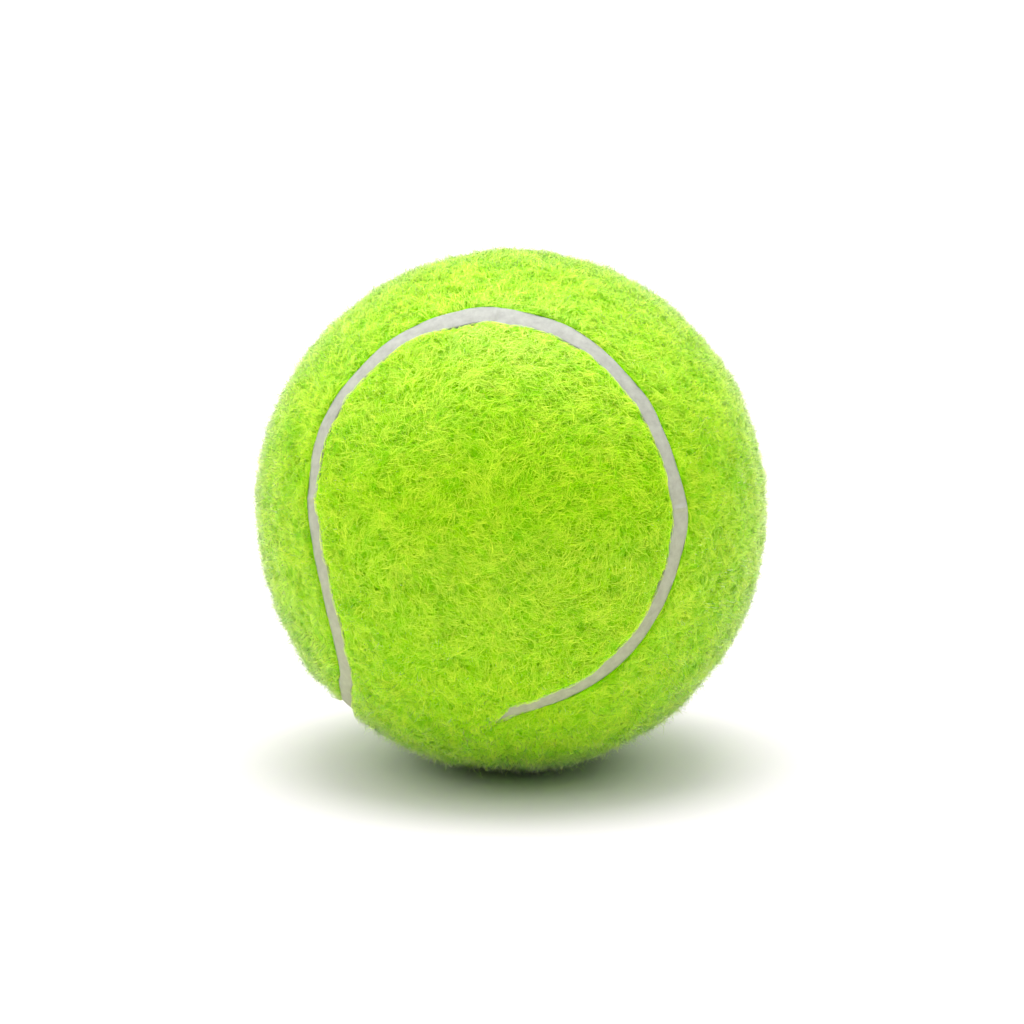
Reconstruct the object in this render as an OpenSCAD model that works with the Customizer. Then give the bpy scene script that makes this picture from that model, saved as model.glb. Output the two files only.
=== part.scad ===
/* [Ball] */

// Diameter over the tips of the nap
ball_diameter = 67; // [65.4:0.1:68.6]

/* [Rubber core] */

// Wall of the two moulded half shells
core_wall = 3.5; // [3:0.1:4.2]
// Cement line between the rims of the half shells
joint_thickness = 0.2; // [0.1:0.05:0.4]
// How far the joint cement squeezes out inside the core
joint_bead = 0.6; // [0.3:0.1:1]
// Rubber solution brushed over the whole core
coat_thickness = 0.15; // [0.1:0.05:0.3]

/* [Felt cover] */

// Felt panel from its woven back to the tips of the nap
felt_thickness = 3; // [2.6:0.1:3.4]
// Rubberised backing under each felt panel
backing_thickness = 0.4; // [0.3:0.05:0.6]
// How far in from its edge a panel starts to roll down to the seam
edge_roll_reach = 1.6; // [1:0.1:2.4]
// How far the lip of a panel's edge lies below the nap
edge_roll_drop = 0.6; // [0.4:0.1:1]

/* [Seam] */

// Width of the strip between the edges of the two panels
seam_width = 2.2; // [1.6:0.1:2.8]
// How far the crown of the strip lies below the nap
seam_depth = 0.45; // [0.3:0.05:0.9]
// Rise of the crown above the edges of the strip
seam_crown = 0.1; // [0.05:0.05:0.2]

/* [Hidden] */

// The ball is centred on the origin with +Z up. Seen from the front, which is -Y, it lies as it was
// photographed: one end of the front panel faces the viewer and its neck leaves at the lower left.

// Clearance of the cover over the coated core, and of the strip between the panels
cover_fit = 0.05;
seam_fit = 0.03;

// Radii, from the outside in
ball_radius = ball_diameter / 2;
felt_underside = ball_radius - felt_thickness;
backing_underside = felt_underside - backing_thickness;
coat_radius = backing_underside - cover_fit;
core_radius = coat_radius - coat_thickness;
cavity_radius = core_radius - core_wall;

// The seam is one closed curve that never crosses itself. It steers by these directions, each
// [degrees to the right of the front, degrees above the equator], in the order that it passes them.
seam_turns = [
    [-8, -38], [27, -29], [42, 4], [39, 30], [16, 60], [-36, 56], [-56, 26], [-47, -2],
    [-44, -31], [-83, -53], [-123, -39], [-136, -15], [-140, 16], [-144, 44], [-177, 69],
    [111, 58], [102, 27], [108, 0], [120, -25], [139, -54], [-48, -77], [-18, -55]
];
// The turns at the rounded ends of the two panels; each panel's other end is half the curve away
front_tip = 3;
rear_tip = 8;
// Stations along the curve for each turn, points laid across a panel between its edges, points
// across a cap that is trimmed away, and steps round the roll of a panel's edge
stations_per_turn = 7;
nap_points = 13;
cap_points = 5;
roll_steps = 5;

// Facets on the round parts
$fn = 96;

felt_colour = [0.68, 0.88, 0.16];
backing_colour = [0.86, 0.84, 0.74];
seam_colour = [0.78, 0.76, 0.72];
coat_colour = [0.80, 0.72, 0.52];
core_colour = [0.20, 0.20, 0.21];
cement_colour = [0.52, 0.44, 0.30];

// The seam curve, and the curves that run parallel to it

function unit(v) = v / norm(v);
function bearing(turn) = [
    cos(turn[1]) * sin(turn[0]), -cos(turn[1]) * cos(turn[0]), sin(turn[1])
];
turns = [for (turn = seam_turns) bearing(turn)];
turn_count = len(turns);
stations = turn_count * stations_per_turn;

// Uniform cubic B-spline over the turns: its weights at u, and the rates at which they change
function weights(u) = [
    pow(1 - u, 3), 3 * pow(u, 3) - 6 * pow(u, 2) + 4,
    -3 * pow(u, 3) + 3 * pow(u, 2) + 3 * u + 1, pow(u, 3)
];
function rates(u) = [
    -pow(1 - u, 2), 3 * pow(u, 2) - 4 * u, -3 * pow(u, 2) + 2 * u + 1, pow(u, 2)
];
function blend(w, first) =
    w[0] * turns[first % turn_count] + w[1] * turns[(first + 1) % turn_count]
    + w[2] * turns[(first + 2) % turn_count] + w[3] * turns[(first + 3) % turn_count];

function span(i) = floor(i / stations_per_turn);
function along(i) = i / stations_per_turn - span(i);
seam = [for (i = [0 : stations - 1]) unit(blend(weights(along(i)), span(i)))];
// Square to the seam and level with the ball's surface, towards the front panel
inward = [for (i = [0 : stations - 1]) unit(cross(seam[i], blend(rates(along(i)), span(i))))];

// An arc's length on the ball's surface, as an angle at its centre
function as_angle(arc) = arc / ball_radius * 180 / PI;
// The point beside station i: away from the seam by an arc, on the front panel's side when positive
function beside(i, arc, radius) =
    radius * (cos(as_angle(arc)) * seam[i] + sin(as_angle(arc)) * inward[i]);

// A panel's outline carried down to the ball's centre.
// profile lists [distance in from the edge, radius] up the edge and over its roll. The last pair is
// carried across the panel on great circles, each from one edge to the station opposite, and the
// solid closes at the centre, for a ball to cut it off.
function arc_between(a, b, share) =
    let (angle = acos(unit(a) * unit(b)))
    (sin((1 - share) * angle) * a + sin(share * angle) * b) / sin(angle);

module panel_wedge(side, tip_turn, profile, points_across) {
    tip = tip_turn * stations_per_turn;
    rings = len(profile);
    rows = stations / 2 - 1;
    top = (rings - 1) * stations;
    inner = rings * stations;
    centre = inner + rows * points_across;
    function wrap(i) = (i + stations) % stations;
    function rim(i, ring) =
        beside(wrap(i), side * (seam_width / 2 + profile[ring][0]), profile[ring][1]);
    function at(row, k) =
        k == 0 ? top + wrap(tip + row)
        : k == points_across + 1 ? top + wrap(tip - row)
        : inner + (row - 1) * points_across + k - 1;
    function turned(face) = side > 0 ? face : [face[2], face[1], face[0]];
    points = concat(
        [for (ring = [0 : rings - 1]) for (i = [0 : stations - 1]) rim(i, ring)],
        [for (row = [1 : rows]) for (k = [1 : points_across])
            arc_between(rim(tip + row, rings - 1), rim(tip - row, rings - 1),
                k / (points_across + 1))],
        [[0, 0, 0]]
    );
    faces = concat(
        [for (i = [0 : stations - 1]) turned([centre, wrap(i + 1), i])],
        [for (ring = [0 : rings - 2]) for (i = [0 : stations - 1])
            let (a = ring * stations + i, b = ring * stations + wrap(i + 1))
            for (face = [[a, b, b + stations], [a, b + stations, a + stations]]) turned(face)],
        [for (row = [1 : rows - 1]) for (k = [0 : points_across])
            let (a = at(row, k), b = at(row, k + 1), c = at(row + 1, k + 1), d = at(row + 1, k))
            for (face = [[a, c, b], [a, d, c]]) turned(face)],
        [for (k = [0 : points_across]) turned([top + wrap(tip), at(1, k), at(1, k + 1)])],
        [for (k = [0 : points_across])
            turned([top + wrap(tip + stations / 2), at(rows, k + 1), at(rows, k)])]
    );
    polyhedron(points, faces, convexity = 10);
}

// One moulded half of the rubber core, its flat rim on the cement line
module half_shell() {
    difference() {
        sphere(core_radius);
        sphere(cavity_radius);
        translate([0, 0, joint_thickness / 2 - ball_diameter / 2])
            cube([ball_diameter, ball_diameter, ball_diameter], center = true);
    }
}

module core_half_upper() {
    color(core_colour) half_shell();
}

module core_half_lower() {
    color(core_colour) mirror([0, 0, 1]) half_shell();
}

// The cement fills the line between the rims and ends in a round bead inside the core
module core_joint_cement() {
    color(cement_colour) rotate_extrude() {
        difference() {
            intersection() {
                circle(core_radius);
                translate([0, -joint_thickness / 2]) square([ball_radius, joint_thickness]);
            }
            circle(cavity_radius);
        }
        intersection() {
            circle(cavity_radius);
            translate([cavity_radius, 0]) circle(joint_bead);
        }
    }
}

module core_coat() {
    color(coat_colour) difference() {
        sphere(coat_radius);
        sphere(core_radius);
    }
}

// A backing's edges are square, and its cap stays clear outside it for a ball to trim
module backing(side, tip) {
    color(backing_colour) difference() {
        intersection() {
            panel_wedge(side, tip, [[0, ball_radius]], cap_points);
            sphere(felt_underside);
        }
        sphere(backing_underside);
    }
}

module backing_front() {
    backing(1, front_tip);
}

module backing_rear() {
    backing(-1, rear_tip);
}

// The edge stands straight up to its lip and then rolls over to the nap
roll_profile = [for (i = [0 : roll_steps]) let (turn = 90 * i / roll_steps)
    [edge_roll_reach * (1 - cos(turn)), ball_radius - edge_roll_drop * (1 - sin(turn))]];

module felt_panel(side, tip) {
    color(felt_colour) difference() {
        panel_wedge(side, tip, roll_profile, nap_points);
        sphere(felt_underside);
    }
}

module felt_panel_front() {
    felt_panel(1, front_tip);
}

module felt_panel_rear() {
    felt_panel(-1, rear_tip);
}

// One endless strip, swept along the seam with a slightly crowned top
module seam_strip() {
    half = seam_width / 2 - seam_fit;
    crown = ball_radius - seam_depth;
    section = [
        [-half, backing_underside], [half, backing_underside], [half, crown - seam_crown],
        [half / 2, crown - seam_crown / 4], [0, crown],
        [-half / 2, crown - seam_crown / 4], [-half, crown - seam_crown]
    ];
    sides = len(section);
    color(seam_colour) polyhedron(
        [for (i = [0 : stations - 1]) for (p = section) beside(i, p[0], p[1])],
        [for (i = [0 : stations - 1]) for (k = [0 : sides - 1])
            let (a = i * sides + k, b = i * sides + (k + 1) % sides,
                c = (i + 1) % stations * sides + (k + 1) % sides,
                d = (i + 1) % stations * sides + k)
            for (face = [[a, b, c], [a, c, d]]) face],
        convexity = 10
    );
}

core_half_upper();
core_half_lower();
core_joint_cement();
core_coat();
backing_front();
backing_rear();
felt_panel_front();
felt_panel_rear();
seam_strip();
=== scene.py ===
import math

import bmesh
import bpy
import numpy as np
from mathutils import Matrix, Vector

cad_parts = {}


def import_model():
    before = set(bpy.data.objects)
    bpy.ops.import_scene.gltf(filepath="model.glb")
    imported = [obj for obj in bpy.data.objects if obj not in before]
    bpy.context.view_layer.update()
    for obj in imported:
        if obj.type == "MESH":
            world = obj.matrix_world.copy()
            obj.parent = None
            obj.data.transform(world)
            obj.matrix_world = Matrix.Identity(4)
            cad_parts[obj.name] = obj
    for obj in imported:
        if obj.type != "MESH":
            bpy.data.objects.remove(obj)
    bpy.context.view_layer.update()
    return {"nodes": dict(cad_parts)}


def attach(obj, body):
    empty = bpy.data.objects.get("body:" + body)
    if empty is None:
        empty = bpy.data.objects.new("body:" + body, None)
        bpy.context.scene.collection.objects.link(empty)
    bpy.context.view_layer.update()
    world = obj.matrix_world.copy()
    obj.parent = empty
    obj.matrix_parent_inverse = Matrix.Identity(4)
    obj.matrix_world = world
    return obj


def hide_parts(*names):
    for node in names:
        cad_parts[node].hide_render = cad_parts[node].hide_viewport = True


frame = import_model()

MM = 0.001

# Where the photograph shows the ball, in its pixels, and how the camera stood
PHOTO_WIDTH = 1024
OUTLINE_CENTRE_X = 510.7
OUTLINE_CENTRE_Y = 509.3
OUTLINE_RADIUS = 257
CAMERA_ELEVATION = math.radians(12)
CAMERA_DISTANCE = 0.5

# The rounded ends of the two panels, as degrees to the right of the front and above the equator
FRONT_TIP = (14, 57)
REAR_TIP = (-82, -50)

# Points whose distances differ by less are taken as equally far out
HAIR = 0.001 * MM

# How finely the seam and the panels are drawn
LINE_REFINEMENT = 4
STRIP_REFINEMENT = 3
ROWS_PER_STATION = 2
POINTS_ACROSS = 72

# The ball is this much narrower to each side than it is high
SIDE_LOSS = 0.75 * MM

# How much fuller the nap is than the CAD ball's, all over and at places round its outline, which
# are given as degrees to the right of the front and above the equator
FULLNESS = 0.12 * MM
FULLER_PLACES = (
    ((88, 14), 0.15 * MM), ((90, 0), 0), ((86, -15), 0.35 * MM), ((82, -30), 0.55 * MM),
    ((75, -44), 0.35 * MM), ((66, -57), 0.45 * MM), ((-62, -56), 0.15 * MM),
    ((-78, -44), 0.3 * MM), ((-84, -28), 0), ((-84, 29), 0.25 * MM), ((-70, 50), 0.15 * MM),
    ((0, 78), 0), ((70, 50), 0.1 * MM),
)
FULLER_REACH = math.radians(14)

# How far the felt lies under the nap, and under the nap's edge
UNDER_NAP = 0.75 * MM
UNDER_EDGE = 0.3 * MM

# How far the nap rolls down at its edge, where the seam beside it shows at least this wide
NAP_ROLL = 0.36 * MM
FULL_ROLL_SHOWS = 1.2 * MM

# How high a fibre may stand at the nap's edge, and how much more for each metre further in
EDGE_HEADROOM = 0.02 * MM
HEADROOM_SLOPE = 0.5

# Where less than this shows of half the seam, the naps of both panels meet over it
COVERED_SEAM = 0.1 * MM

# The lumps, tufts and swells that the nap is brushed into
LUMP_SIZE = 2.6 * MM
LUMP_HEIGHT = 0.32 * MM
TUFT_SIZE = 4 * MM
SWELL_SIZE = 14 * MM
SWELL_HEIGHT = 0.18 * MM

# How wide the seam shows between the naps, at places so many degrees to the right of the front and
# above the equator. Where it is 0, the naps of both panels meet over the seam.
SEAM_SHOWS = (
    ((40, 8), 2.7 * MM), ((38, 25), 2.2 * MM), ((35, 37), 2.5 * MM), ((31, 43), 2.4 * MM),
    ((14, 56), 2.8 * MM), ((-8, 59), 3.2 * MM), ((-25, 56), 3.1 * MM), ((-40, 50), 2.6 * MM),
    ((-50, 33), 2.3 * MM), ((-51, 15), 1.8 * MM), ((-46, -10), 1.9 * MM), ((-48, -28), 2.1 * MM),
    ((36, -7), 2.2 * MM), ((28, -21), 2.4 * MM), ((17, -31), 2.3 * MM), ((9, -35), 2.1 * MM),
    ((2, -37), 1.5 * MM), ((-4, -40), 0), ((-10, -46), 0), ((-18, -55), 0), ((-26, -65), 0),
    ((-33, -75), 0),
)
SHOWS_ELSEWHERE = 2.2 * MM
SHOWS_REACH = math.radians(5)

# How far the brushed seam strays from its moulded line at such places, towards the front panel
SEAM_STRAYS = (
    ((6, -35), 0.6 * MM), ((15, -31), 0.5 * MM), ((26, -23), 0.45 * MM), ((31, -16), 0.45 * MM),
    ((35, -9), 0.25 * MM), ((38, -1), 0.1 * MM), ((40, 8), -0.28 * MM), ((39, 15), 0.25 * MM),
    ((38, 24), 0.3 * MM), ((36, 33), 0.05 * MM), ((33, 39), 0.4 * MM), ((28, 46), 0.35 * MM),
    ((20, 53), 0.5 * MM), ((12, 56), 0.85 * MM), ((4, 58), 1.1 * MM), ((-5, 59), 0.85 * MM),
    ((-13, 59), 0.45 * MM), ((-21, 57), 0.85 * MM), ((-30, 54), 0.6 * MM), ((-40, 49), 0.5 * MM),
    ((-47, 40), 0.6 * MM), ((-50, 31), 0.4 * MM), ((-51, 23), 0.2 * MM), ((-50, 15), 0.35 * MM),
    ((-50, 9), 0), ((-48, 3), 0.4 * MM), ((-46, -1), 0.6 * MM), ((-45, -10), 0.75 * MM),
    ((-45, -20), 0.75 * MM), ((-46, -28), 0.75 * MM),
)
STRAYS_REACH = math.radians(4)

# Where the brushed seam has a small ridge across it, how high and how long along the seam
SEAM_RIDGES = ((41, 9.5), (-50, 10), (-6, 59))
RIDGE_HEIGHT = 0.22 * MM
RIDGE_REACH = 0.32 * MM

# How far the moulded strip stands above the CAD one, flush with the nap, its gap beside the nap,
# and the fine grain and the broader ripple of its rubber
STRIP_RISE = 0.1 * MM
STRIP_GAP = 0.03 * MM
STRIP_POINTS_ACROSS = 13
GRAIN_SIZE = 1.1 * MM
GRAIN_HEIGHT = 0.03 * MM
RIPPLE_SIZE = 5 * MM
RIPPLE_HEIGHT = 0.04 * MM

# A piece of nap has at most this many faces, and its fibres share one square map
MOST_FACES = 95000
MAP_NAME = "OFBake"

# How much of its cell on the map a fibre's ribbon takes up, from side to side and from end to end
MAP_ACROSS = (0.2, 0.8)
MAP_ALONG = (0.12, 0.88)

# How far a fibre's shading follows the ball and not the fibre's own sides
SOFTNESS = 0.86

# How far a fibre's flat side leans to either side of facing outwards, how much it twists towards
# its tip, and how wide its ends are beside its middle
MOST_ROLL = math.radians(30)
TWIST = 0.3
END_WIDTH = 0.3
END_TAPER = 0.08

# The swirls in which the nap lies. It is drawn level round the ball, and upright under it, from so
# far below the equator on and over so much more, as shares of the radius.
SWIRL_SIZE = 7 * MM
LEVEL_PULL = 0.5
UPRIGHT_PULL = 0.6
UPRIGHT_FROM = -0.2
UPRIGHT_OVER = 0.4

# How far beyond the nap's edge a lock may be rooted, and how much locks differ in shade
ROOT_OVERHANG = 0.05 * MM
LOCK_CONTRAST = 0.25

# How much the fibres of one lock differ: in shade, in curl and rise as a share of what locks do,
# and in length and width as the least and most of the lock's own
FIBRE_CONTRAST = 0.16
CURL_WITHIN_LOCK = 0.6
RISE_WITHIN_LOCK = 0.7
LENGTH_WITHIN_LOCK = (0.65, 1.2)
WIDTH_WITHIN_LOCK = (0.7, 1.3)

# How far above the floor the nap stays where it is pressed flat
FLOOR_GAP = 0.02 * MM

# The studio's light from just above the horizon to overhead, and what the side behind the ball adds
# to it, each between two ends of the direction's own share
ABOVE_ENDS = (0.15, 1)
LIGHT_ABOVE = (0.05, 0.95)
BEHIND_ENDS = (-0.6, 1)
LIGHT_BEHIND = (0, 1.1)

# The lamps: the side that each shines from, how many degrees wide it is, and its strength
LAMPS = {
    "lamp_left": ((-0.75, -0.06, 1), 70, 1.65),
    "lamp_right": ((0.5, -0.06, 1), 60, 1.2),
    "lamp_above": ((0, 0.05, 1), 40, 1.9),
}
LAMP_COLOUR = (1, 0.98, 0.95)

# The table's half width in metres, and its colour in the light that it throws back and as it is seen
TABLE_REACH = 6.0
TABLE_BOUNCE = (0.88, 0.88, 0.60)
TABLE_SEEN = (0.64, 0.61, 0.66)

# The camera's sensor in millimetres, and the nearest and farthest that it sees
SENSOR_WIDTH = 36
CLIP_START = 0.01
CLIP_END = 20


def unit(vectors):
    """The vectors scaled to a length of 1, row by row."""
    return vectors / np.linalg.norm(vectors, axis=-1, keepdims=True)


def rowwise_dot(a, b):
    """The dot product of each pair of rows, as a column."""
    return (a * b).sum(axis=-1, keepdims=True)


def levelled(headings, out):
    """Headings laid flat on the ball, where out points away from its centre."""
    return unit(headings - rowwise_dot(headings, out) * out)


def bearing(right, up):
    """The unit direction so many degrees to the right of the front and above the equator."""
    right, up = math.radians(right), math.radians(up)
    return np.array([math.cos(up) * math.sin(right), -math.cos(up) * math.cos(right), math.sin(up)])


def node_points(name):
    """The corners of a CAD node's mesh, each once, in metres."""
    mesh = frame["nodes"][name].data
    points = np.zeros(len(mesh.vertices) * 3, np.float32)
    mesh.vertices.foreach_get("co", points)
    return np.unique(points.reshape(-1, 3).astype(float).round(7), axis=0)


def lattice_noise(points, size, seed):
    """Smooth noise from -1 to 1 at each point, whose bumps are about size across."""
    cells = 32
    table = np.random.default_rng(seed).uniform(-1, 1, (cells, cells, cells))
    place = points / size
    low = np.floor(place).astype(int)
    part = place - low
    ease = part * part * (3 - 2 * part)
    total = np.zeros(len(points))
    for corner in np.ndindex(2, 2, 2):
        weight = np.prod(np.where(corner, ease, 1 - ease), axis=1)
        x, y, z = ((low + corner) % cells).T
        total += weight * table[x, y, z]
    return total


# The seam's line, read from the crown of the CAD strip

def in_order(line):
    """The points of a closed line, each followed by its nearest neighbour that is still to come."""
    order = [0]
    left = set(range(1, len(line)))
    while left:
        nearest = max(left, key=lambda i: line[i] @ line[order[-1]])
        left.remove(nearest)
        order.append(nearest)
    return line[order]


def refined(line, times):
    """A closed line of unit directions with times as many points, on a smooth curve through them."""
    before, after, beyond = (np.roll(line, k, axis=0) for k in (1, -1, -2))
    t = np.arange(times)[None, :, None] / times
    p0, p1, p2, p3 = (p[:, None, :] for p in (before, line, after, beyond))
    curve = 2 * p1 + (p2 - p0) * t + (2 * p0 - 5 * p1 + 4 * p2 - p3) * t**2
    curve = curve + (3 * p1 - p0 - 3 * p2 + p3) * t**3
    return unit(curve.reshape(-1, 3))


def across_line(line):
    """The unit directions across a closed line on the ball, all to the same side of it."""
    along = unit(np.roll(line, -1, axis=0) - np.roll(line, 1, axis=0))
    return unit(np.cross(line, along))


strip_points = node_points("seam_strip")
strip_reach = np.linalg.norm(strip_points, axis=1)
strip_crown = strip_reach.max()
crown_points = strip_points[strip_reach > strip_crown - HAIR]
seam_line = refined(in_order(unit(crown_points)), LINE_REFINEMENT)
seam_across = across_line(seam_line)

front_points = node_points("felt_panel_front")
ball_radius = np.linalg.norm(front_points, axis=1).max()
felt_underside = np.linalg.norm(front_points, axis=1).min()


def nearest_station(points):
    """The station of the seam nearest to each point."""
    at_once = 50000
    chunks = np.array_split(unit(points), max(1, len(points) // at_once))
    return np.concatenate([np.argmax(chunk @ seam_line.T, axis=1) for chunk in chunks])


def seam_distance(points, station=None):
    """Each point's distance from the seam, in metres along the ball; below 0 on the rear panel."""
    if station is None:
        station = nearest_station(points)
    return ball_radius * np.arcsin(rowwise_dot(unit(points), seam_across[station])[:, 0])


# Turned to point towards the front panel
if seam_distance(front_points).mean() < 0:
    seam_across = -seam_across

front_distance = seam_distance(front_points)
front_reach = np.linalg.norm(front_points, axis=1)
panel_edge = front_distance.min()
roll_reach = front_distance[front_reach > ball_radius - HAIR].min() - panel_edge

# Half the strip's width, and how far its crown stands above its upper edges
strip_distance = np.abs(seam_distance(strip_points))
strip_half = strip_distance.max()
strip_edges = (strip_reach > felt_underside) & (strip_distance > 0.95 * strip_half)
strip_rise = strip_crown - strip_reach[strip_edges].max()


# The felt's surface

def near_places(directions, places, reach, elsewhere):
    """A value for each direction: that of the places within reach of it, or else elsewhere's."""
    centres = np.array([bearing(*place) for place, value in places])
    values = np.array([value for place, value in places])
    angle = np.arccos(np.clip(directions @ centres.T, -1, 1))
    weight = np.exp(-(angle / reach) ** 2)
    least = 0.02
    return (weight @ values + least * elsewhere) / (weight.sum(axis=1) + least)


# Half the width that shows at every station, and the moulded line moved to where it was brushed
nap_edge = near_places(seam_line, SEAM_SHOWS, SHOWS_REACH, SHOWS_ELSEWHERE) / 2
stray = near_places(seam_line, SEAM_STRAYS, STRAYS_REACH, 0) / ball_radius
moulded_across = seam_across
seam_line = unit(seam_line + moulded_across * stray[:, None])
seam_across = across_line(seam_line)
seam_across = seam_across * np.sign(rowwise_dot(seam_across, moulded_across))


def swollen(directions):
    """How far the cover lies outside the CAD ball: fuller in places and flatter at the sides."""
    fuller = near_places(directions, FULLER_PLACES, FULLER_REACH, 0)
    return FULLNESS + fuller - SIDE_LOSS * directions[:, 0] ** 2


def nap_radius(directions, station):
    """How far the nap's surface is from the centre, over the roll at a panel's edge."""
    distance = np.abs(seam_distance(directions, station))
    share = np.clip((distance - nap_edge[station]) / roll_reach, 0, 1)
    drop = NAP_ROLL * np.clip(2 * nap_edge[station] / FULL_ROLL_SHOWS, 0, 1)
    return ball_radius + swollen(directions) - drop * (1 - np.sqrt(share * (2 - share)))


def lumps(points):
    """How far the nap stands out at each point, over its smooth surface."""
    large = lattice_noise(points, LUMP_SIZE, seed=11)
    small = lattice_noise(points, LUMP_SIZE / 2, seed=12)
    swell = lattice_noise(points, SWELL_SIZE, seed=13)
    return LUMP_HEIGHT * (large + 0.5 * small) + SWELL_HEIGHT * swell


def set_on_points(mesh, name, kind, field, values):
    """Gives each point of a mesh a value of its own."""
    attribute = mesh.attributes.new(name, kind, "POINT")
    attribute.data.foreach_set(field, values.astype(np.float32).ravel())


def new_piece(name, points, faces, material, normals=None, shades=None, places=None):
    """A smooth mesh piece that moves with the ball. faces holds corner numbers, as many in each row.
    Each point may have a normal, a shade for its material and a place on the piece's map."""
    mesh = bpy.data.meshes.new(name)
    mesh.vertices.add(len(points))
    mesh.vertices.foreach_set("co", points.astype(np.float32).ravel())
    mesh.loops.add(faces.size)
    mesh.loops.foreach_set("vertex_index", faces.astype(np.int32).ravel())
    mesh.polygons.add(len(faces))
    mesh.polygons.foreach_set("loop_start", np.arange(0, faces.size, faces.shape[1], dtype=np.int32))
    mesh.update(calc_edges=True)
    mesh.shade_smooth()
    if normals is not None:
        set_on_points(mesh, "custom_normal", "FLOAT_VECTOR", "vector", normals)
    if shades is not None:
        set_on_points(mesh, "shade", "FLOAT", "value", shades)
    if places is not None:
        layer = mesh.uv_layers.new(name=MAP_NAME)
        layer.uv.foreach_set("vector", places[faces.ravel()].astype(np.float32).ravel())
    mesh.materials.append(material)
    piece = bpy.data.objects.new(name, mesh)
    bpy.context.scene.collection.objects.link(piece)
    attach(piece, "root")
    return piece


def panel_edge_directions(side, stations):
    """Where the felt's own edge lies, under the edge of its nap."""
    angle = (np.maximum(panel_edge, nap_edge[stations]) / ball_radius)[:, None]
    return np.cos(angle) * seam_line[stations] + side * np.sin(angle) * seam_across[stations]


def panel_grid(side, tip):
    """The directions of a panel's points, in rows that run across it from edge to edge."""
    stations = len(seam_line)
    step = LINE_REFINEMENT // ROWS_PER_STATION
    first = int(np.argmax(seam_line @ bearing(*tip)))
    rows = np.arange(1, stations // (2 * step)) * step
    one, other = (first + rows) % stations, (first - rows) % stations
    ends = [panel_edge_directions(side, s) for s in (one, other)]
    angle = np.arccos(np.clip(rowwise_dot(*ends), -1, 1))[:, :, None]
    share = (np.arange(POINTS_ACROSS + 2) / (POINTS_ACROSS + 1))[None, :, None]
    a, b = ends[0][:, None, :], ends[1][:, None, :]
    return unit(np.sin((1 - share) * angle) * a + np.sin(share * angle) * b)


def two_sided_faces(rows, columns):
    """The faces of a closed sheet: a grid of outer points, the same again inside, and its rim."""
    number = np.arange(rows * columns).reshape(rows, columns)
    a, b, c, d = number[:-1, :-1], number[:-1, 1:], number[1:, 1:], number[1:, :-1]
    top = np.stack([a, b, c, d], axis=-1).reshape(-1, 4)
    ring = np.concatenate([number[0], number[1:, -1], number[-1, -2::-1], number[-2:0:-1, 0]])
    following = np.roll(ring, -1)
    below = rows * columns
    rim = np.stack([ring, ring + below, following + below, following], axis=-1)
    return np.concatenate([top, top[:, ::-1] + below, rim])


def felt_panel(name, side, tip, material):
    """One felt panel under its nap: lumpy outer face, rolled edge, and the face that is glued down.
    Its second result is that glued face's grid of points."""
    grid = panel_grid(side, tip)
    directions = grid.reshape(-1, 3)
    station = nearest_station(directions)
    surface = nap_radius(directions, station)
    inside = np.abs(seam_distance(directions, station)) - nap_edge[station]
    under = UNDER_EDGE + (UNDER_NAP - UNDER_EDGE) * np.clip(inside / roll_reach, 0, 1)
    outer = directions * (surface - under + lumps(directions * ball_radius))[:, None]
    points = np.concatenate([outer, directions * felt_underside])
    panel = new_piece(name, points, two_sided_faces(*grid.shape[:2]), material)
    face_outwards(panel)
    return panel, grid * felt_underside


def face_outwards(piece):
    """Turns a closed mesh's faces to the outside."""
    mesh = bmesh.new()
    mesh.from_mesh(piece.data)
    bmesh.ops.recalc_face_normals(mesh, faces=mesh.faces)
    mesh.to_mesh(piece.data)
    mesh.free()


# The nap: curly fibres brushed into locks

def flow(points):
    """The direction in which the nap lies at each point: level round the ball, upright under it."""
    swirl = np.stack([lattice_noise(points, SWIRL_SIZE, seed) for seed in (21, 22, 23)], axis=1)
    out = unit(points)
    upright = np.clip(UPRIGHT_FROM - out[:, 2], 0, UPRIGHT_OVER) / UPRIGHT_OVER
    swirl[:, 0] += LEVEL_PULL * (1 - upright)
    swirl[:, 2] += UPRIGHT_PULL * upright
    return levelled(swirl, out)


def turned(headings, out, angles):
    """Headings turned about the outward directions."""
    cos, sin = np.cos(angles)[:, None], np.sin(angles)[:, None]
    return headings * cos + np.cross(out, headings) * sin


def in_nap(side, directions, margin):
    """Whether each direction is on the panel, at least margin in from its nap's edge."""
    station = nearest_station(directions)
    return side * seam_distance(directions, station) > nap_edge[station] + margin


def roots_on_panel(rng, side, count, margin):
    """Random directions on one panel, at least margin in from its edge."""
    found = np.zeros((0, 3))
    while len(found) < count:
        directions = unit(rng.normal(size=(count * 3, 3)))
        found = np.concatenate([found, directions[in_nap(side, directions, margin)]])
    return found[:count]


def drawn_back(side, directions, overhang):
    """The directions, those beyond the nap's edge drawn back to it, and their nearest stations."""
    station = nearest_station(directions)
    over = nap_edge[station] - overhang - side * seam_distance(directions, station)
    over = np.where(nap_edge[station] < COVERED_SEAM, 0, np.clip(over, 0, None))
    return unit(directions + side * seam_across[station] * (over / ball_radius)[:, None]), station


def headroom(side, directions, station):
    """How far a fibre may stand over the surface: little beside the seam, where the nap is short."""
    inside = np.clip(side * seam_distance(directions, station) - nap_edge[station], 0, None)
    allowed = EDGE_HEADROOM + HEADROOM_SLOPE * inside
    return np.where(nap_edge[station] < COVERED_SEAM, ball_radius, allowed)


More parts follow.
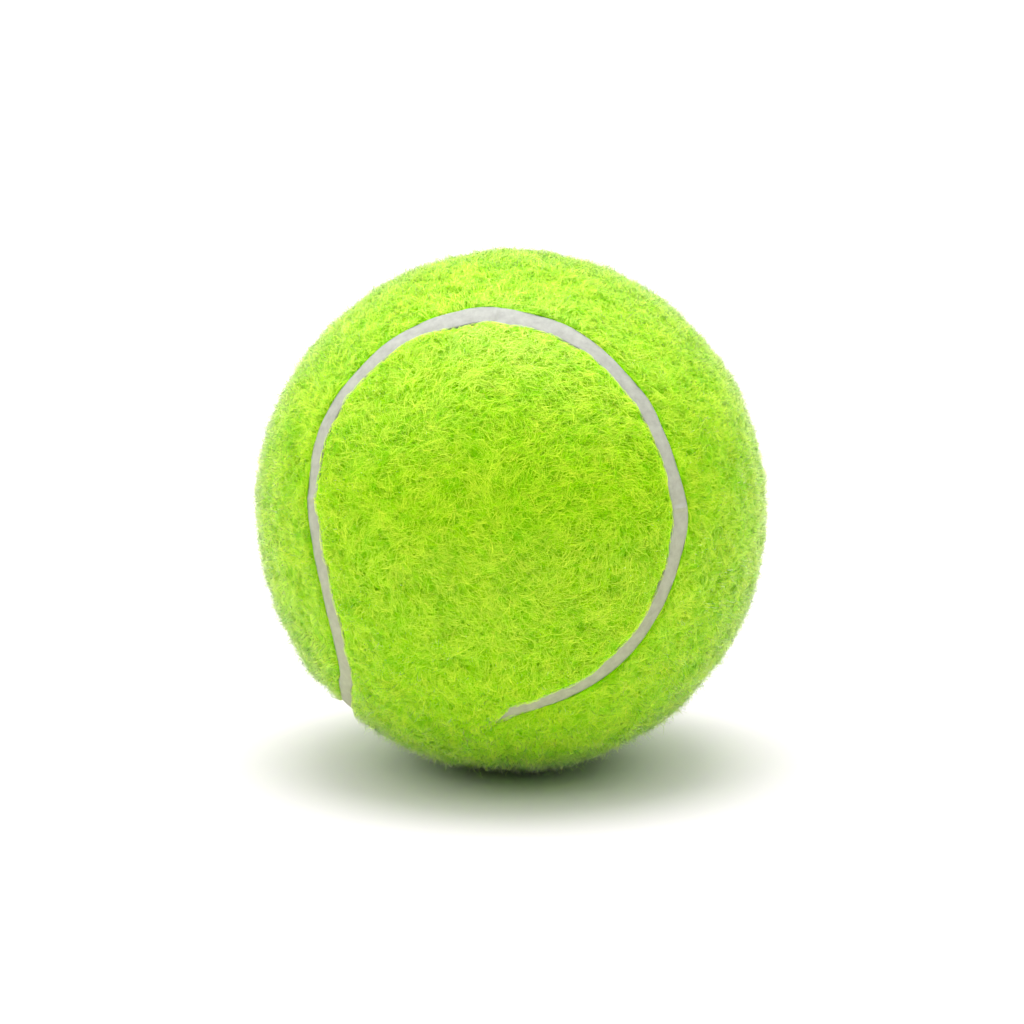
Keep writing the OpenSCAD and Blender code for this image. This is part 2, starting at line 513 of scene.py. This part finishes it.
def locks_on_panel(rng, side, style):
    """Where the locks of a panel are rooted, and what the fibres of each have in common."""
    root = roots_on_panel(rng, side, style["count"] // style["per_lock"], -ROOT_OVERHANG)
    count = len(root)
    stray = rng.normal(0, style["stray"], count)
    heading = turned(flow(root * ball_radius), root, stray)
    curl = rng.normal(0, style["curl"], count)
    length = rng.uniform(*style["length"], count)
    rise = rng.normal(0, style["rise_spread"], count)
    rise = rise + style["tuft"] * lattice_noise(root * ball_radius, TUFT_SIZE, seed=41)
    shade = rng.normal(0, LOCK_CONTRAST, count)
    return {"root": root, "heading": heading, "curl": curl, "length": length, "rise": rise,
            "shade": shade}


def fibres_of(rng, style, locks):
    """What each fibre is like: as its lock is, but for differences of its own."""
    fibres = {trait: np.repeat(values, style["per_lock"], axis=0) for trait, values in locks.items()}
    count = len(fibres["root"])
    spread = rng.normal(0, style["lock_radius"] / ball_radius, (count, 3))
    strayed = rng.normal(0, style["comb"], count)
    fibres["heading"] = turned(fibres["heading"], fibres["root"], strayed)
    fibres["curl"] = fibres["curl"] + rng.normal(0, style["curl"] * CURL_WITHIN_LOCK, count)
    fibres["wave"] = rng.uniform(0, 2 * math.pi, count)
    fibres["length"] = fibres["length"] * rng.uniform(*LENGTH_WITHIN_LOCK, count)
    risen = rng.normal(0, style["rise_spread"] * RISE_WITHIN_LOCK, count)
    fibres["rise"] = fibres["rise"] + risen
    fibres["tip"] = rng.exponential(style["tip"], count) if style["tip"] else 0
    fibres["overhang"] = np.abs(rng.normal(0, style["overhang"], count))
    shade = 0.5 + fibres["shade"] + rng.normal(0, FIBRE_CONTRAST, count)
    fibres["shade"] = np.clip(shade, 0, 1)
    fibres["middle"] = unit(fibres["root"] + spread)
    return fibres


def crawl(side, style, fibres):
    """The fibres' paths, as (fibre, step, xyz). Each crawls along the ball about its middle, curls,
    and rises out of the felt and back into it."""
    steps = style["steps"]
    direction = fibres["middle"]
    heading = levelled(fibres["heading"], direction)
    stride = fibres["length"] / steps
    direction = unit(direction - heading * (fibres["length"] / 2 / ball_radius)[:, None])
    path = []
    for step in range(steps + 1):
        direction, station = drawn_back(side, direction, fibres["overhang"])
        heading = levelled(heading, direction)
        share = step / steps
        surface = nap_radius(direction, station) + lumps(direction * ball_radius)
        arch = math.sin(math.pi * share * style["arch_end"])
        height = style["sunk"] + (style["rise"] + fibres["rise"]) * arch + fibres["tip"] * share**2
        height = np.minimum(height, headroom(side, direction, station))
        path.append(direction * (surface + height)[:, None])
        phase = fibres["wave"] + share * style["waves"] * 2 * math.pi
        bend = fibres["curl"] + style["wave"] * np.sin(phase)
        heading = turned(heading, direction, bend * stride)
        direction = unit(direction + heading * (stride / ball_radius)[:, None])
    return np.stack(path, axis=1)


def ribbons(rng, paths, width):
    """Thin twisted ribbons along the paths: their points, four-cornered faces and normals."""
    count, stations = paths.shape[:2]
    share = np.linspace(0, 1, stations)
    tangent = unit(np.gradient(paths, axis=1))
    out = unit(paths)
    level = unit(np.cross(tangent, out))
    upright = np.cross(level, tangent)
    lean = rng.uniform(-MOST_ROLL, MOST_ROLL, (count, 1))
    roll = (lean + rng.normal(0, TWIST, (count, 1)) * share)[..., None]
    side = level * np.cos(roll) + upright * np.sin(roll)
    facing = upright * np.cos(roll) - level * np.sin(roll)
    round_end = np.sin(math.pi * (END_TAPER + (1 - 2 * END_TAPER) * share))
    taper = END_WIDTH + (1 - END_WIDTH) * round_end
    half = (width / 2 * rng.uniform(*WIDTH_WITHIN_LOCK, (count, 1)) * taper)[..., None]
    points = np.stack([paths - side * half, paths + side * half], axis=2).reshape(-1, 3)
    normals = np.repeat(unit(SOFTNESS * out + (1 - SOFTNESS) * facing), 2, axis=1).reshape(-1, 3)
    number = np.arange(count * stations * 2).reshape(count, stations, 2)
    a, b = number[:, :-1, 0], number[:, :-1, 1]
    c, d = number[:, 1:, 1], number[:, 1:, 0]
    faces = np.stack([a, b, c, d], axis=-1).reshape(-1, 4)
    return points, faces, normals


def map_places(count, stations):
    """Each fibre's place on its piece's map: a cell of its own, which its ribbon nearly fills."""
    cells = math.ceil(math.sqrt(count))
    fibre = np.arange(count)
    corner = np.stack([fibre % cells, fibre // cells], axis=-1)[:, None, None, :]
    across, along = np.meshgrid(MAP_ACROSS, np.linspace(*MAP_ALONG, stations))
    return ((corner + np.stack([across, along], axis=-1)) / cells).reshape(-1, 2)


def above_floor(points):
    """The points, with those below the table's top lifted to it: the nap is pressed flat there."""
    points[:, 2] = np.maximum(points[:, 2], -ball_radius + FLOOR_GAP)
    return points


# The kinds of fibre in the nap:
# count: how many a panel has, in locks of per_lock, each of which spreads by lock_radius
# length, steps, width: the least and most of its length, its number of steps, and its width
# sunk, rise, rise_spread: how deep it is rooted, how far it rises, and how much that differs
# tuft, tip, arch_end: what tufts and its tip add to that, and how much of an arch it makes
# curl, wave, waves: how much it curls and waves, in radians to the metre, and how often
# comb, stray: how far it turns from its lock, and its lock from the nap's flow, in radians
# overhang: how far it may hang over the nap's edge
# dark, light, gloss, sheen: its deepest and palest colour, and the gloss and sheen of its wool;
# the mat's colours hold painted shade, and the crest's and fuzz's painted highlight
NAP_STYLES = {
    "mat": dict(
        count=28000, per_lock=5, lock_radius=0.6 * MM,
        length=(1.6 * MM, 3.6 * MM), steps=5, width=0.12 * MM,
        sunk=-0.7 * MM, rise=0.28 * MM, rise_spread=0.1 * MM, tuft=0, tip=0, arch_end=1,
        curl=160, wave=150, waves=1, comb=0.6, stray=1.2, overhang=0,
        # Darker than the body's: painted shade on the deep fibres under the rest of the nap
        dark=(0.18, 0.60, 0), light=(0.32, 0.74, 0), gloss=0, sheen=0),
    "body": dict(
        count=92000, per_lock=6, lock_radius=0.34 * MM,
        length=(1.1 * MM, 2.5 * MM), steps=4, width=0.058 * MM,
        sunk=-0.5 * MM, rise=0.36 * MM, rise_spread=0.14 * MM, tuft=0, tip=0, arch_end=1,
        curl=130, wave=200, waves=1.2, comb=0.35, stray=0.6, overhang=0.02 * MM,
        dark=(0.21, 0.64, 0), light=(0.44, 0.83, 0), gloss=0.2, sheen=0.7),
    "crest": dict(
        count=60000, per_lock=5, lock_radius=0.3 * MM,
        length=(1 * MM, 2.7 * MM), steps=4, width=0.037 * MM,
        sunk=-0.32 * MM, rise=0.36 * MM, rise_spread=0.16 * MM,
        tuft=0.1 * MM, tip=0.06 * MM, arch_end=1,
        curl=130, wave=230, waves=1.3, comb=0.35, stray=0.65, overhang=0.03 * MM,
        # Paler and whiter than the body's: painted highlight on the raised fibres
        dark=(0.42, 0.82, 0), light=(0.75, 0.94, 0.04), gloss=0.65, sheen=1),
    "fuzz": dict(
        count=60000, per_lock=2, lock_radius=0.3 * MM,
        length=(0.9 * MM, 2.1 * MM), steps=3, width=0.032 * MM,
        sunk=-0.35 * MM, rise=0.38 * MM, rise_spread=0.34 * MM,
        tuft=0, tip=0.24 * MM, arch_end=0.8,
        curl=200, wave=200, waves=1.2, comb=0.6, stray=1, overhang=0.05 * MM,
        # Paler and whiter than the body's: painted highlight on the fibres that stand out furthest
        dark=(0.41, 0.81, 0), light=(0.74, 0.94, 0.04), gloss=0.8, sheen=1),
}


def nap(panel, side, materials):
    """All the nap of one panel, each style in pieces of no more than MOST_FACES."""
    pieces = []
    for order, (name, style) in enumerate(NAP_STYLES.items()):
        rng = np.random.default_rng(100 + 10 * order + (side < 0))
        fibres = fibres_of(rng, style, locks_on_panel(rng, side, style))
        paths = crawl(side, style, fibres)
        mixed = rng.permutation(len(paths))
        parts = math.ceil(len(paths) * style["steps"] / MOST_FACES)
        stations = style["steps"] + 1
        for number, part in enumerate(np.array_split(mixed, parts)):
            points, faces, normals = ribbons(rng, paths[part], style["width"])
            shades = np.repeat(fibres["shade"][part], 2 * stations)
            pieces.append(new_piece(
                f"nap_{panel}_{name}_{number + 1}", above_floor(points), faces, materials[name],
                normals, shades, map_places(len(part), stations)))
    return pieces


# The seam strip

def ridges(line, across):
    """How high the small ridges across the strip stand, at each of its points."""
    height = np.zeros(len(line))
    for place in SEAM_RIDGES:
        angle = np.arccos(np.clip(line @ line[np.argmax(line @ bearing(*place))], -1, 1))
        height += RIDGE_HEIGHT * np.exp(-(angle * ball_radius / RIDGE_REACH) ** 2)
    return (height[:, None] * (1 - across**4)).ravel()


def strip_course():
    """The strip's line, the directions across it and half its width, at every station."""
    line = refined(seam_line, STRIP_REFINEMENT)
    across = np.repeat(seam_across, STRIP_REFINEMENT, axis=0)
    across = unit(sum(np.roll(across, shift, axis=0) for shift in range(STRIP_REFINEMENT)))
    shows = np.repeat(nap_edge, STRIP_REFINEMENT)
    shows = sum(np.roll(shows, shift) for shift in range(STRIP_REFINEMENT)) / STRIP_REFINEMENT
    return line, across, np.maximum(strip_half, shows - STRIP_GAP)


def endless_faces(stations, width):
    """The faces of an endless band: a loop of outer points, the same again inside, and its sides."""
    number = np.arange(stations * width).reshape(stations, width)
    loop = np.concatenate([number, number[:1]])
    corners = [loop[:-1, :-1], loop[:-1, 1:], loop[1:, 1:], loop[1:, :-1]]
    top = np.stack(corners, axis=-1).reshape(-1, 4)
    below = stations * width
    sides = []
    for edge in (0, width - 1):
        a, b = loop[:-1, edge], loop[1:, edge]
        sides.append(np.stack([a, b, b + below, a + below], axis=-1))
    return np.concatenate([top, top[:, ::-1] + below, *sides])


def seam_strip(material):
    """The rubber strip: a slightly crowned band between the panels, uneven as it was moulded."""
    line, sideways, half = strip_course()
    across = np.linspace(-1, 1, STRIP_POINTS_ACROSS)
    angle = (across[None, :] * half[:, None] / ball_radius)[:, :, None]
    directions = unit(line[:, None, :] * np.cos(angle) + sideways[:, None, :] * np.sin(angle))
    directions = directions.reshape(-1, 3)
    fall = strip_rise * np.tile(across**2, len(line))
    crown = strip_crown + STRIP_RISE + swollen(directions) - fall
    grain = GRAIN_HEIGHT * lattice_noise(directions * ball_radius, GRAIN_SIZE, seed=31)
    ripple = RIPPLE_HEIGHT * lattice_noise(directions * ball_radius, RIPPLE_SIZE, seed=32)
    outer = directions * (crown + grain + ripple + ridges(line, across))[:, None]
    points = np.concatenate([outer, directions * felt_underside])
    faces = endless_faces(len(line), STRIP_POINTS_ACROSS)
    strip = new_piece("seam_strip_moulded", points, faces, material)
    face_outwards(strip)
    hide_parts("seam_strip")


# Materials

def node_material(name):
    """A new material with its nodes, its links and its Principled shader."""
    material = bpy.data.materials.new(name)
    material.use_nodes = True
    nodes = material.node_tree.nodes
    return material, nodes, material.node_tree.links, nodes["Principled BSDF"]


def object_noise(nodes, links, scale, detail, roughness):
    """Noise over the object's own coordinates, with scale bumps to the metre."""
    coordinates = nodes.new("ShaderNodeTexCoord")
    noise = nodes.new("ShaderNodeTexNoise")
    noise.inputs["Scale"].default_value = scale
    noise.inputs["Detail"].default_value = detail
    noise.inputs["Roughness"].default_value = roughness
    links.new(coordinates.outputs["Object"], noise.inputs["Vector"])
    return noise.outputs["Fac"]


def ramp(nodes, links, value, *stops):
    """A colour ramp over value, between two stops of (place, colour)."""
    node = nodes.new("ShaderNodeValToRGB")
    elements = node.color_ramp.elements
    for element, (place, colour) in zip(elements, stops):
        element.position = place
        element.color = (*colour, 1)
    links.new(value, node.inputs["Fac"])
    return node.outputs["Color"]


def between_ends(nodes, links, value, low, high, at_low, at_high):
    """Value, taken from low to high, as a share of the way from at_low to at_high."""
    node = nodes.new("ShaderNodeMapRange")
    ends = {"From Min": low, "From Max": high, "To Min": at_low, "To Max": at_high}
    for name, number in ends.items():
        node.inputs[name].default_value = number
    links.new(value, node.inputs["Value"])
    return node.outputs["Result"]


def spread(nodes, links, noise, low, high):
    """Noise, most of which lies between 0.3 and 0.7, spread over low to high."""
    return between_ends(nodes, links, noise, 0.3, 0.7, low, high)


def bumped(nodes, links, shader, height, distance, strength=0.5):
    """A bump on the shader, as deep as distance."""
    node = nodes.new("ShaderNodeBump")
    node.inputs["Distance"].default_value = distance
    node.inputs["Strength"].default_value = strength
    links.new(height, node.inputs["Height"])
    links.new(node.outputs["Normal"], shader.inputs["Normal"])


def felt_material():
    """The felt under the nap: matted green wool, darker and paler in clumps at random."""
    material, nodes, links, shader = node_material("felt_matted")
    clumps = object_noise(nodes, links, scale=420, detail=6, roughness=0.7)
    dye = ramp(nodes, links, clumps, (0.3, (0.20, 0.66, 0.001)), (0.7, (0.34, 0.82, 0.002)))
    links.new(dye, shader.inputs["Base Color"])
    hairs = object_noise(nodes, links, scale=4200, detail=3, roughness=0.6)
    links.new(spread(nodes, links, hairs, 0.8, 1.0), shader.inputs["Roughness"])
    bumped(nodes, links, shader, hairs, 0.15 * MM, 0.6)
    shader.inputs["Specular IOR Level"].default_value = 0.05
    return material


def nap_material(name):
    """Dyed wool: each fibre has its own shade, and whole patches are paler and duller, or deeper."""
    # The kind's dark and light ends hold painted shade for the mat and painted highlight for the crest
    # and fuzz
    style = NAP_STYLES[name]
    material, nodes, links, shader = node_material(f"nap_{name}_wool")
    fibre = nodes.new("ShaderNodeAttribute")
    fibre.attribute_name = "shade"
    worn = object_noise(nodes, links, scale=260, detail=3, roughness=0.55)
    patches = spread(nodes, links, worn, -0.18, 0.18)
    total = nodes.new("ShaderNodeMath")
    total.operation = "ADD"
    links.new(fibre.outputs["Fac"], total.inputs[0])
    links.new(patches, total.inputs[1])
    dye = ramp(nodes, links, total.outputs["Value"], (0, style["dark"]), (1, style["light"]))
    links.new(dye, shader.inputs["Base Color"])
    links.new(spread(nodes, links, worn, 0.3, 0.42), shader.inputs["Roughness"])
    shader.inputs["Specular Tint"].default_value = (1, 0.95, 0.6, 1)
    shader.inputs["Specular IOR Level"].default_value = style["gloss"]
    shader.inputs["Sheen Weight"].default_value = style["sheen"]
    shader.inputs["Sheen Roughness"].default_value = 0.28
    shader.inputs["Sheen Tint"].default_value = (1, 0.99, 0.97, 1)
    return material


def seam_material():
    """Matt grey rubber with a faint mottle, a little chalky and dusted along its length."""
    material, nodes, links, shader = node_material("seam_grey_rubber")
    mottle = object_noise(nodes, links, scale=900, detail=5, roughness=0.65)
    greys = (0.25, (0.265, 0.272, 0.257)), (0.75, (0.385, 0.395, 0.373))
    links.new(ramp(nodes, links, mottle, *greys), shader.inputs["Base Color"])
    grain = object_noise(nodes, links, scale=5200, detail=2, roughness=0.5)
    links.new(spread(nodes, links, grain, 0.55, 0.8), shader.inputs["Roughness"])
    bumped(nodes, links, shader, grain, 0.05 * MM, 0.4)
    return material


def plain_pattern(name, dark, light, scale, rough, relief):
    """A finish for a piece inside the ball: two tones of one colour with a grain."""
    material, nodes, links, shader = node_material(name)
    grain = object_noise(nodes, links, scale, detail=5, roughness=0.6)
    links.new(ramp(nodes, links, grain, (0.3, dark), (0.7, light)), shader.inputs["Base Color"])
    links.new(spread(nodes, links, grain, *rough), shader.inputs["Roughness"])
    bumped(nodes, links, shader, grain, relief, 0.5)
    return material


def finish_inner_nodes():
    """Materials for the CAD pieces under the cover."""
    rubber = plain_pattern("core_black_rubber", (0.012, 0.012, 0.013), (0.035, 0.035, 0.036),
                           scale=1400, rough=(0.5, 0.75), relief=0.05 * MM)
    cement = plain_pattern("joint_cement_dried", (0.16, 0.12, 0.06), (0.27, 0.21, 0.12),
                           scale=900, rough=(0.35, 0.6), relief=0.04 * MM)
    coat = plain_pattern("coat_brushed_rubber", (0.44, 0.34, 0.19), (0.60, 0.50, 0.32),
                         scale=600, rough=(0.3, 0.55), relief=0.05 * MM)
    weave = plain_pattern("backing_woven", (0.52, 0.50, 0.40), (0.72, 0.70, 0.58),
                          scale=2600, rough=(0.75, 0.95), relief=0.08 * MM)
    finishes = {
        "core_half_upper": rubber, "core_half_lower": rubber, "core_joint_cement": cement,
        "core_coat": coat, "backing_front": weave, "backing_rear": weave,
    }
    for name, material in finishes.items():
        slots = frame["nodes"][name].data.materials
        slots.clear()
        slots.append(material)


# The studio

def seen_directly(nodes, links):
    """1 for what the camera sees, straight or in gloss or glass, and 0 for the rest."""
    path = nodes.new("ShaderNodeLightPath")
    seen = path.outputs["Is Camera Ray"]
    for other in ("Is Glossy Ray", "Is Transmission Ray"):
        most = nodes.new("ShaderNodeMath")
        most.operation = "MAXIMUM"
        links.new(seen, most.inputs[0])
        links.new(path.outputs[other], most.inputs[1])
        seen = most.outputs["Value"]
    return seen


def floor():
    """A white table that keeps the ball's shadow. The light that it throws back is a little warmer."""
    mesh = bpy.data.meshes.new("floor")
    corners = [(-1, -1), (1, -1), (1, 1), (-1, 1)]
    points = [(x * TABLE_REACH, y * TABLE_REACH, -ball_radius) for x, y in corners]
    mesh.from_pydata(points, [], [(0, 1, 2, 3)])
    piece = bpy.data.objects.new("floor", mesh)
    bpy.context.scene.collection.objects.link(piece)
    material, nodes, links, shader = node_material("floor_white")
    tones = nodes.new("ShaderNodeMix")
    tones.data_type = "RGBA"
    links.new(seen_directly(nodes, links), tones.inputs["Factor"])
    tones.inputs["A"].default_value = (*TABLE_BOUNCE, 1)
    tones.inputs["B"].default_value = (*TABLE_SEEN, 1)
    links.new(tones.outputs["Result"], shader.inputs["Base Color"])
    shader.inputs["Roughness"].default_value = 1
    shader.inputs["Specular IOR Level"].default_value = 0
    mesh.materials.append(material)


def world():
    """A white studio, which lights the ball most from above and behind, and least from the front."""
    studio = bpy.data.worlds.new("studio")
    studio.use_nodes = True
    nodes, links = studio.node_tree.nodes, studio.node_tree.links
    direction = nodes.new("ShaderNodeSeparateXYZ")
    links.new(nodes.new("ShaderNodeTexCoord").outputs["Generated"], direction.inputs[0])
    above = between_ends(nodes, links, direction.outputs["Z"], *ABOVE_ENDS, *LIGHT_ABOVE)
    behind = between_ends(nodes, links, direction.outputs["Y"], *BEHIND_ENDS, *LIGHT_BEHIND)
    light = nodes.new("ShaderNodeMath")
    light.operation = "ADD"
    links.new(above, light.inputs[0])
    links.new(behind, light.inputs[1])
    background = nodes["Background"]
    background.inputs["Color"].default_value = (1, 1, 1, 1)
    links.new(light.outputs["Value"], background.inputs["Strength"])
    bpy.context.scene.world = studio


def soft_sun(name, place, width, strength):
    """A broad even light from a place's direction, so many degrees wide."""
    lamp = bpy.data.lights.new(name, "SUN")
    lamp.angle = math.radians(width)
    lamp.energy = strength
    lamp.color = LAMP_COLOUR
    piece = bpy.data.objects.new(name, lamp)
    piece.rotation_euler = (-Vector(place)).to_track_quat("-Z", "Y").to_euler()
    bpy.context.scene.collection.objects.link(piece)


def camera():
    """The camera as it stood: the ball's outline falls where the photograph shows it."""
    outline_angle = math.asin(ball_radius / CAMERA_DISTANCE)
    pixels = OUTLINE_RADIUS / math.tan(outline_angle)
    data = bpy.data.cameras.new("camera")
    data.sensor_width = SENSOR_WIDTH
    data.lens = data.sensor_width * pixels / PHOTO_WIDTH
    data.clip_start = CLIP_START
    data.clip_end = CLIP_END
    back = Vector((0, -math.cos(CAMERA_ELEVATION), math.sin(CAMERA_ELEVATION)))
    turn = (-back).to_track_quat("-Z", "Y")
    pixel = CAMERA_DISTANCE / pixels
    to_right = (PHOTO_WIDTH / 2 - OUTLINE_CENTRE_X) * pixel
    to_top = (OUTLINE_CENTRE_Y - PHOTO_WIDTH / 2) * pixel
    place = back * CAMERA_DISTANCE + turn @ Vector((to_right, to_top, 0))
    piece = bpy.data.objects.new("camera", data)
    piece.rotation_euler = turn.to_euler()
    piece.location = place
    bpy.context.scene.collection.objects.link(piece)
    bpy.context.scene.camera = piece


def ball():
    """The whole ball: both felt panels with their naps, the strip, and finishes for what is inside."""
    felt = felt_material()
    wool = {name: nap_material(name) for name in NAP_STYLES}
    for panel, side, tip in (("front", 1, FRONT_TIP), ("rear", -1, REAR_TIP)):
        base, back = felt_panel(f"felt_{panel}", side, tip, felt)
        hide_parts(f"felt_panel_{panel}")
        nap(panel, side, wool)
    seam_strip(seam_material())
    finish_inner_nodes()


bpy.context.scene.view_settings.view_transform = "Standard"
bpy.context.scene.cycles.diffuse_bounces = 8
camera()
ball()
floor()
world()
for lamp_name, lamp_values in LAMPS.items():
    soft_sun(lamp_name, *lamp_values)
